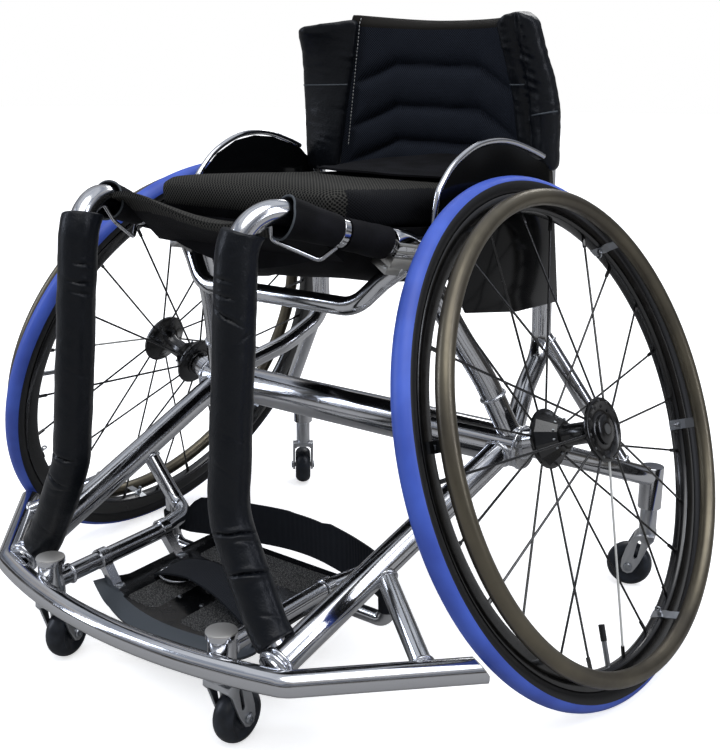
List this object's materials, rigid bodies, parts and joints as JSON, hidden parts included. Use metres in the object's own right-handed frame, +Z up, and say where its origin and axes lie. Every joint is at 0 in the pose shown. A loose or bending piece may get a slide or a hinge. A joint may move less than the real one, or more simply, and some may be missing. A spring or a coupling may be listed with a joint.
{
  "type": "basketball wheelchair",
  "caption": "Rigid court wheelchair with cambered spoked wheels, grip rings, a wrap-round front bumper, swivel casters, a slung cushion seat and a low padded back.",
  "frame": {"origin": "on the floor, under the centre of the bounding box: X = 0 is the chair's middle plane", "axes": "+Z up, -Y the way the chair faces, +X the occupant's left"},
  "size_m": [0.9142, 0.7383, 0.7654],
  "materials": {
    "tyre": "plain dark blue rubber, slightly glossy",
    "black_alloy": "gloss black anodised rim, hub and spokes",
    "grey_coat": "satin dark grey-bronze coat",
    "steel": "satin steel axles and bolts",
    "satin_alloy": "satin milled aluminium",
    "caster_tyre": "dark blue-grey roller-skate style caster tyre",
    "polished_tube": "mirror-polished tube",
    "black_panel": "gloss black composite panel",
    "black_vinyl": "soft black vinyl over foam",
    "black_cloth": "matt black woven cloth and webbing"
  },
  "bodies": {
    "frame": {"axle_left": "steel", "axle_right": "steel", "camber_tube": "polished_tube", "front_bumper": "polished_tube", "seat_cross_tube": "polished_tube", "calf_bar": "polished_tube", "side_tube_left": "polished_tube", "side_tube_right": "polished_tube", "bumper_strut_left": "polished_tube", "bumper_strut_right": "polished_tube", "seat_post_left": "polished_tube", "seat_post_right": "polished_tube", "seat_rail_left": "polished_tube", "seat_rail_right": "polished_tube", "back_cane_left": "polished_tube", "back_cane_right": "polished_tube", "rear_brace_left": "polished_tube", "rear_brace_right": "polished_tube", "rear_arm_left": "polished_tube", "rear_arm_right": "polished_tube", "front_barrel_left": "polished_tube", "front_barrel_right": "polished_tube", "foot_loop_left": "polished_tube", "foot_loop_right": "polished_tube", "guard_edge_left": "polished_tube", "guard_edge_right": "polished_tube", "guard_panel_left": "black_panel", "guard_panel_right": "black_panel", "leg_pad_left": "black_vinyl", "leg_pad_right": "black_vinyl", "back_pad": "black_vinyl", "back_wing_left": "black_vinyl", "back_wing_right": "black_vinyl", "seat_sling": "black_cloth", "seat_cushion": "black_cloth", "lap_strap": "black_cloth", "foot_strap": "black_cloth", "calf_strap": "black_cloth", "footplate": "grey_coat"},
    "main_wheel_left": {"tyre_left": "tyre", "rim_left": "black_alloy", "hub_left": "black_alloy", "handrim_left": "grey_coat"},
    "main_wheel_right": {"tyre_right": "tyre", "rim_right": "black_alloy", "hub_right": "black_alloy", "handrim_right": "grey_coat"},
    "front_caster_left": {"front_caster_fork_left": "satin_alloy", "front_caster_bolt_left": "steel"},
    "front_caster_right": {"front_caster_fork_right": "satin_alloy", "front_caster_bolt_right": "steel"},
    "rear_caster_left": {"rear_caster_fork_left": "satin_alloy", "rear_caster_bolt_left": "steel"},
    "rear_caster_right": {"rear_caster_fork_right": "satin_alloy", "rear_caster_bolt_right": "steel"},
    "front_roller_left": {"front_caster_wheel_left": "caster_tyre"},
    "front_roller_right": {"front_caster_wheel_right": "caster_tyre"},
    "rear_roller_left": {"rear_caster_wheel_left": "caster_tyre"},
    "rear_roller_right": {"rear_caster_wheel_right": "caster_tyre"}
  },
  "joints": [
    {"name": "main_wheel_left_spin", "type": "hinge", "parent": "frame", "child": "main_wheel_left", "pos_m": [0.3241, 0.06178, 0.28695], "axis": [0.9397, -0.0191, 0.3415], "continuous": true},
    {"name": "main_wheel_right_spin", "type": "hinge", "parent": "frame", "child": "main_wheel_right", "pos_m": [-0.3241, 0.06178, 0.28695], "axis": [-0.9397, -0.0191, 0.3415], "continuous": true},
    {"name": "front_left_swivel", "type": "hinge", "parent": "frame", "child": "front_caster_left", "pos_m": [0.1414, -0.31962, 0.1], "axis": [0, 0, 1], "continuous": true},
    {"name": "front_right_swivel", "type": "hinge", "parent": "frame", "child": "front_caster_right", "pos_m": [-0.1414, -0.31962, 0.1], "axis": [0, 0, 1], "continuous": true},
    {"name": "rear_left_swivel", "type": "hinge", "parent": "frame", "child": "rear_caster_left", "pos_m": [0.3165, 0.32668, 0.13], "axis": [0, 0, 1], "continuous": true},
    {"name": "rear_right_swivel", "type": "hinge", "parent": "frame", "child": "rear_caster_right", "pos_m": [-0.3165, 0.32668, 0.13], "axis": [0, 0, 1], "continuous": true},
    {"name": "front_left_roll", "type": "hinge", "parent": "front_caster_left", "child": "front_roller_left", "pos_m": [0.13994, -0.29867, 0.031], "axis": [0.9976, 0.0698, 0], "continuous": true},
    {"name": "front_right_roll", "type": "hinge", "parent": "front_caster_right", "child": "front_roller_right", "pos_m": [-0.14719, -0.29943, 0.031], "axis": [0.9613, 0.2756, 0], "continuous": true},
    {"name": "rear_left_roll", "type": "hinge", "parent": "rear_caster_left", "child": "rear_roller_left", "pos_m": [0.29642, 0.32054, 0.031], "axis": [-0.2924, 0.9563, 0], "continuous": true},
    {"name": "rear_right_roll", "type": "hinge", "parent": "rear_caster_right", "child": "rear_roller_right", "pos_m": [-0.33069, 0.34217, 0.031], "axis": [0.7373, 0.6756, 0], "continuous": true}
  ]
}
